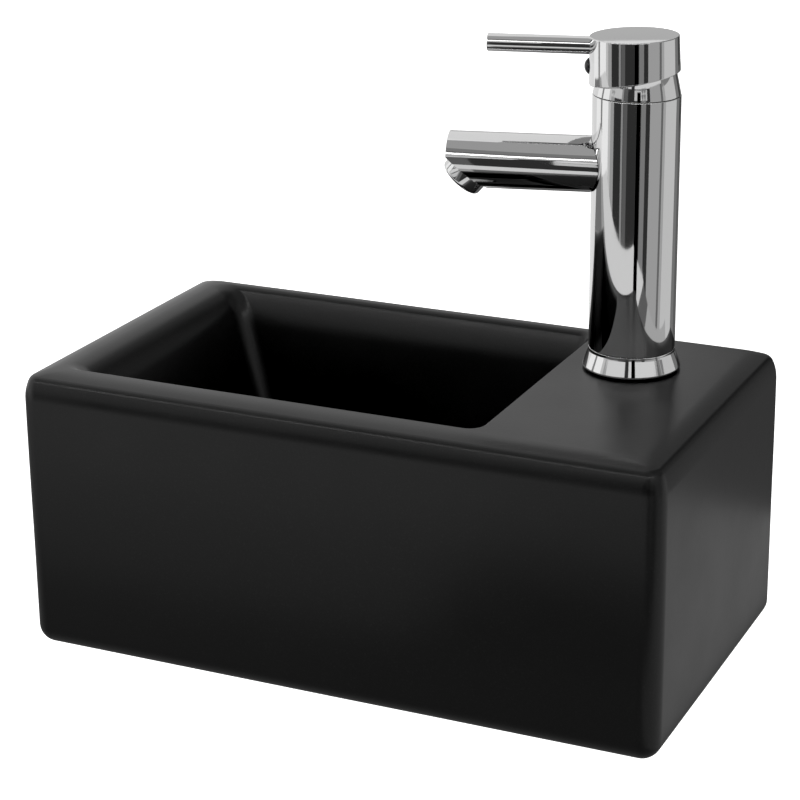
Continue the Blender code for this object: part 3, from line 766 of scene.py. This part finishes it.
def make_cap():
    """The cap: flat top, slightly wider foot, and a foot cut higher at the back."""
    top = 0.0285
    ceiling = 0.0180
    foot_middle = 0.0066
    foot_slope = -tan(radians(7) + CAP_LEAN)
    corners = [(0, top, 0), (0.0231, top, 0.0005), (0.0236, foot_middle, 0.0022),
               (0.0223, foot_middle, 0), (0.0221, ceiling, 0), (0, ceiling, 0)]
    profile = softened(corners, closed=False, steps=8)

    def slant(radius, height):
        reach = max(0.0, min(1.0, (ceiling - height) / (ceiling - foot_middle)))
        return foot_slope * reach if radius > 0.020 else 0.0

    mesh = turned_mesh("cap", profile, ROUND, slant)
    back = CAP_FRAME.inverted() @ LIFT_FRAME
    tools = []
    for reach, low in ((0.0168, 0.0085), (0.0228, 0.0112)):
        boss = box_mesh("boss", (-0.0060, -0.0065, low), (reach, 0.0065, 0.0190))
        tools.append((boss, back, "UNION"))
    socket = box_mesh("socket", (-0.0036, -0.0034, 0.0050), (0.0036, 0.0034, 0.0195))
    tools.append((socket, back @ Matrix.Rotation(radians(10), 4, "Y"), "DIFFERENCE"))
    lever_hole = rod_mesh("lever_hole", LEVER_R + 0.00012, 0.0120, 0.040, ROUND)
    tools.append((lever_hole, CAP_FRAME.inverted() @ LEVER_FRAME, "DIFFERENCE"))
    screw_hole = rod_mesh("screw_hole", 0.0028, 0.0010, 0.040)
    tools.append((screw_hole, CAP_FRAME.inverted() @ BUTTON_FRAME, "DIFFERENCE"))
    finish_piece("cap", carved(mesh, tools), CAP_FRAME, "chrome", "handle", ["handle_cap"])


def make_lever():
    corners = [(0, LEVER_TIP, 0), (LEVER_R, LEVER_TIP, 0.0006), (LEVER_R, 0.0123, 0.0002),
               (0, 0.0123, 0)]
    mesh = turned_mesh("lever", softened(corners, closed=False, steps=6), SMALL_ROUND)
    finish_piece("lever", mesh, LEVER_FRAME, "chrome", "handle", ["lever_rod"])


def make_button():
    face = 0.0252
    dome = arc((0, face - 0.0032), 0.0054, 90, 52, 8)
    corners = dome + [(0.0041, face + 0.0003), (0.0043, face - 0.0002), (0.0043, face - 0.0010),
                      (0.0024, face - 0.0010), (0.0024, 0.0212), (0, 0.0212)]
    mesh = turned_mesh("button", corners, SMALL_ROUND)
    finish_piece("button", mesh, BUTTON_FRAME, "black_plastic", "handle", ["index_button"])


# ---- waste -------------------------------------------------------------------------------------
def make_waste():
    bore_r = 0.0175
    thread_r = 0.0209
    lip = 0.0015
    tail = WASTE_LOW.z - (RIM - BOWL_DEPTH)
    corners = [(bore_r + 0.003, lip, 0.0006), (0.0315, lip, 0.0012), (0.0315, -0.0009, 0.0002),
               (thread_r, -0.0009, 0.0002)]
    thread_top = -0.010
    pitch = 0.0023
    turns = int((thread_top - tail - 0.004) / pitch)
    for i in range(turns):
        height = thread_top - i * pitch
        corners += [(thread_r, height, 0), (thread_r - 0.0007, height - pitch / 2, 0)]
    corners += [(thread_r - 0.0004, tail, 0.0004), (bore_r, tail, 0.0004),
                (bore_r, lip - 0.0035, 0.001)]
    mesh = turned_mesh("waste", softened(corners, steps=3), ROUND)
    bridge = box_mesh("bridge", (-0.0185, -0.0035, -0.034), (0.0185, 0.0035, -0.030))
    hub = rod_mesh("hub", 0.0070, -0.0345, -0.0295, 32)
    hub_hole = rod_mesh("hub_hole", 0.0045, -0.040, -0.020, 32)
    tools = [(bridge, Matrix(), "UNION"), (hub, Matrix(), "UNION"),
             (hub_hole, Matrix(), "DIFFERENCE")]
    finish_piece("waste", carved(mesh, tools), WASTE_FRAME, "chrome", "root", ["waste_body"])


def make_plug():
    dome = arc((0, -0.0930), 0.1100, 90, 75.2, 14)
    corners = dome + [(0.0291, 0.0131), (0.0297, 0.0126), (0.0300, 0.0119), (0.0300, 0.0099),
                      (0.0297, 0.0095), (0.0250, 0.0095), (0.0245, 0.0122), (0.0100, 0.0125),
                      (0.0100, 0.0085), (0.0034, 0.0085), (0.0034, 0.0140), (0, 0.0140)]
    finish_piece("plug", turned_mesh("plug", corners), WASTE_FRAME, "chrome", "plug", ["plug_cap"])


def make_plug_spring():
    """The coil under the stem's collar. The real coil shortens as the plug goes down; this one keeps one fixed
    length.
    """
    per_turn = 40
    around = 10
    steps = SPRING_TURNS * per_turn
    points = []
    for i in range(steps + 1):
        turn = 2 * pi * i / per_turn
        middle = SPRING_LOW + (SPRING_HIGH - SPRING_LOW) * i / steps
        for k in range(around):
            side = 2 * pi * k / around
            radius = SPRING_R + SPRING_WIRE_R * cos(side)
            height = middle + SPRING_WIRE_R * sin(side)
            points.append((radius * cos(turn), radius * sin(turn), height))
    faces = [tuple(range(around)), tuple(range(len(points) - 1, len(points) - around - 1, -1))]
    for i in range(steps):
        for k in range(around):
            here, beside = i * around + k, i * around + (k + 1) % around
            faces.append((here, here + around, beside + around, beside))
    mesh = bpy.data.meshes.new("spring")
    mesh.from_pydata(points, [], faces)
    spring = finish_piece("spring", mesh, WASTE_FRAME, "steel", "root", ["plug_spring"])
    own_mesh(spring)


# ---- stage -------------------------------------------------------------------------------------
def glow(name, brightness):
    return new_material(name, Base_Color=(0.0, 0.0, 0.0), Roughness=1.0, Specular_IOR_Level=0.0,
                        Emission_Color=(1.0, 1.0, 1.0), Emission_Strength=brightness)


def stage_piece(name, mesh, material, seen_by_camera):
    """Part of the studio. What the camera doesn't see only lights and reflects."""
    made = bpy.data.objects.new(name, mesh)
    mesh.materials.append(material)
    bpy.context.scene.collection.objects.link(made)
    made.visible_camera = seen_by_camera
    made.visible_shadow = False
    made.visible_glossy = not seen_by_camera
    made.visible_diffuse = not seen_by_camera


def direction(turn, rise):
    """Unit vector: turn in degrees from the front towards the right, rise above level."""
    turn = radians(turn)
    rise = radians(rise)
    return Vector((sin(turn) * cos(rise), -cos(turn) * cos(rise), sin(rise)))


def tent(name, turns, rises, brightness, radius=TENT_R):
    """A cloth panel of the light tent, a patch of a sphere round the tap."""
    across = max(2, round((turns[1] - turns[0]) / 6))
    up = max(2, round((rises[1] - rises[0]) / 6))
    bm = bmesh.new()
    grid = []
    for i in range(across + 1):
        turn = turns[0] + (turns[1] - turns[0]) * i / across
        column = []
        for j in range(up + 1):
            rise = rises[0] + (rises[1] - rises[0]) * j / up
            column.append(bm.verts.new(TENT_MIDDLE + direction(turn, rise) * radius))
        grid.append(column)
    for i in range(across):
        for j in range(up):
            bm.faces.new((grid[i][j], grid[i + 1][j], grid[i + 1][j + 1], grid[i][j + 1]))
    mesh = bpy.data.meshes.new(name)
    bm.to_mesh(mesh)
    bm.free()
    stage_piece(name, mesh, glow(name, brightness), False)


def card(name, corners, height, brightness):
    """A level reflector card with the given corners in plan."""
    mesh = bpy.data.meshes.new(name)
    mesh.from_pydata([(x, y, height) for x, y in corners], [], [tuple(range(len(corners)))])
    stage_piece(name, mesh, glow(name, brightness), False)


def make_backdrop():
    """The pale floor and the pale world behind it, both seen by the camera only."""
    floor_z = cad_low.z - 0.35
    mesh = bpy.data.meshes.new("floor")
    reach = 12.0
    mesh.from_pydata([(-reach, -reach, floor_z), (reach, -reach, floor_z),
                      (reach, reach, floor_z), (-reach, reach, floor_z)], [], [(0, 1, 2, 3)])
    pale = new_material("pale_floor", Base_Color=(0.9, 0.9, 0.9), Roughness=0.9,
                        Emission_Color=(1.0, 1.0, 1.0), Emission_Strength=PALE)
    stage_piece("floor", mesh, pale, True)

    world = bpy.data.worlds.new("studio")
    world.use_nodes = True
    world.node_tree.nodes["Background"].inputs["Color"].default_value = (1, 1, 1, 1)
    world.node_tree.nodes["Background"].inputs["Strength"].default_value = PALE
    bpy.context.scene.world = world


def make_tent():
    """The light tent that the glaze and the chrome reflect.

    Each panel has its range of turns and of rises in degrees and its brightness. It is closed
    all round by panels that stand further out.
    """
    far = TENT_R + 1.0
    whole = (-90, 90)
    upper = (-10, 76)
    low = (-35, 14)
    tent("front_dark", (-90, 90), whole, 0.035, far)
    tent("back_low_right", (90, 142), whole, 0.62, far)
    tent("back_low", (142, 160), whole, 0.20, far)
    tent("back_low_far", (160, 208), whole, 0.12, far)
    tent("back_low_left", (208, 270), whole, 0.85, far)
    tent("back_high_right", (90, 160), (9, 76), 0.24)
    tent("back_high", (160, 176), upper, 0.05)
    tent("back_high_middle", (176, 196), upper, 0.25)
    tent("back_high_left", (196, 214), (16.5, 76), 0.80)
    tent("back_high_left_low", (196, 214), (-10, 16.5), 0.48)
    tent("back_high_corner", (214, 256), upper, 0.80)
    tent("top", (-90, 270), (76, 90), 0.38)
    tent("top_front", (-90, 90), (50, 76), 0.38)
    tent("top_edge", (-90, 90), (38, 50), 0.22)
    tent("front_strip", (-55, 60), (21, 36), 0.50)
    tent("front_lamp", (-55, 60), (29.5, 32), 6.5, TENT_R - 0.1)
    tent("front_step_left", (-56, -20), (1, 11), 0.62)
    tent("front_step_right", (13, 46), (1, 12), 0.60)
    tent("front_glow_left", (-56, 4), (13, 20), 0.75)
    tent("front_glow_right", (13, 90), (13, 20), 0.75)
    tent("left_box", (-104, -84), (-35, 66), 1.0)
    tent("left_box_inner", (-78, -57), (-35, 66), 1.0)
    tent("left_gap", (-84, -78), (-35, 66), 0.25)
    tent("left_step", (-57, -50), low, 0.60)
    tent("left_card", (-50, -40), low, 0.38)
    tent("thin_card", (-20, -15), low, 0.30)
    tent("soft_middle", (-14, -4), low, 0.12)
    tent("right_thin", (31, 43), low, 0.23)
    tent("right_card", (54, 85), low, 0.40)
    tent("right_edge", (85, 91), low, 0.15)
    tent("right_wall", (91, 99), low, 0.42)
    tent("right_high", (50, 100), (24, 60), 0.60)
    tent("stand", (20, 29), (-30, 14), 0.0, 0.55)


def make_table():
    """The table under the basin, bright far in front and shaded near the basin."""
    table_z = BASIN_LOW.z - 0.004
    near = BASIN_LOW.y - 0.10
    middle = BASIN_LOW.y - 0.25
    side = BASIN_HIGH.x + 0.01
    card("table", [(TABLE_LEFT, -0.84), (0.36, -0.80), (TABLE_RIGHT, -0.50),
                   (TABLE_RIGHT, middle), (TABLE_LEFT, middle)], table_z, 0.72)
    for name, left, right, front, back, brightness in (
            ("table_left", TABLE_LEFT, 0.0, middle, near, 0.38),
            ("table_right", 0.0, TABLE_RIGHT, middle, near, 0.13),
            ("table_shade", TABLE_LEFT, side, near, TABLE_BACK, 0.20),
            ("table_side", side, TABLE_RIGHT, near, TABLE_BACK, 0.44)):
        corners = [(left, front), (right, front), (right, back), (left, back)]
        card(name, corners, table_z, brightness)


def make_camera():
    """A long lens from the front right, above the rim, framed like a catalogue view."""
    camera_data = bpy.data.cameras.new("camera")
    camera_data.sensor_width = SENSOR_MM
    camera_data.lens = LENS_MM
    camera_data.shift_x = -0.098
    camera_data.shift_y = -0.075
    camera = bpy.data.objects.new("camera", camera_data)
    camera.location = CAMERA_PLACE
    camera.rotation_euler = (pi / 2 - CAMERA_DIP, 0, CAMERA_TURN)
    bpy.context.scene.collection.objects.link(camera)
    bpy.context.scene.camera = camera


def make_picture_look():
    """Plain display transform with the blacks pulled down to the printed black."""
    look = bpy.context.scene.view_settings
    look.view_transform = "Standard"
    look.use_curve_mapping = True
    look.curve_mapping.black_level = (BLACK_LEVEL, BLACK_LEVEL, BLACK_LEVEL)
    look.curve_mapping.update()


make_camera()
make_picture_look()
dress_cad_nodes()
make_basin()
make_tap_body()
make_spout()
make_outlet()
make_trim_ring()
make_cap()
make_lever()
make_button()
make_waste()
make_plug()
make_plug_spring()
make_backdrop()
make_tent()
make_table()
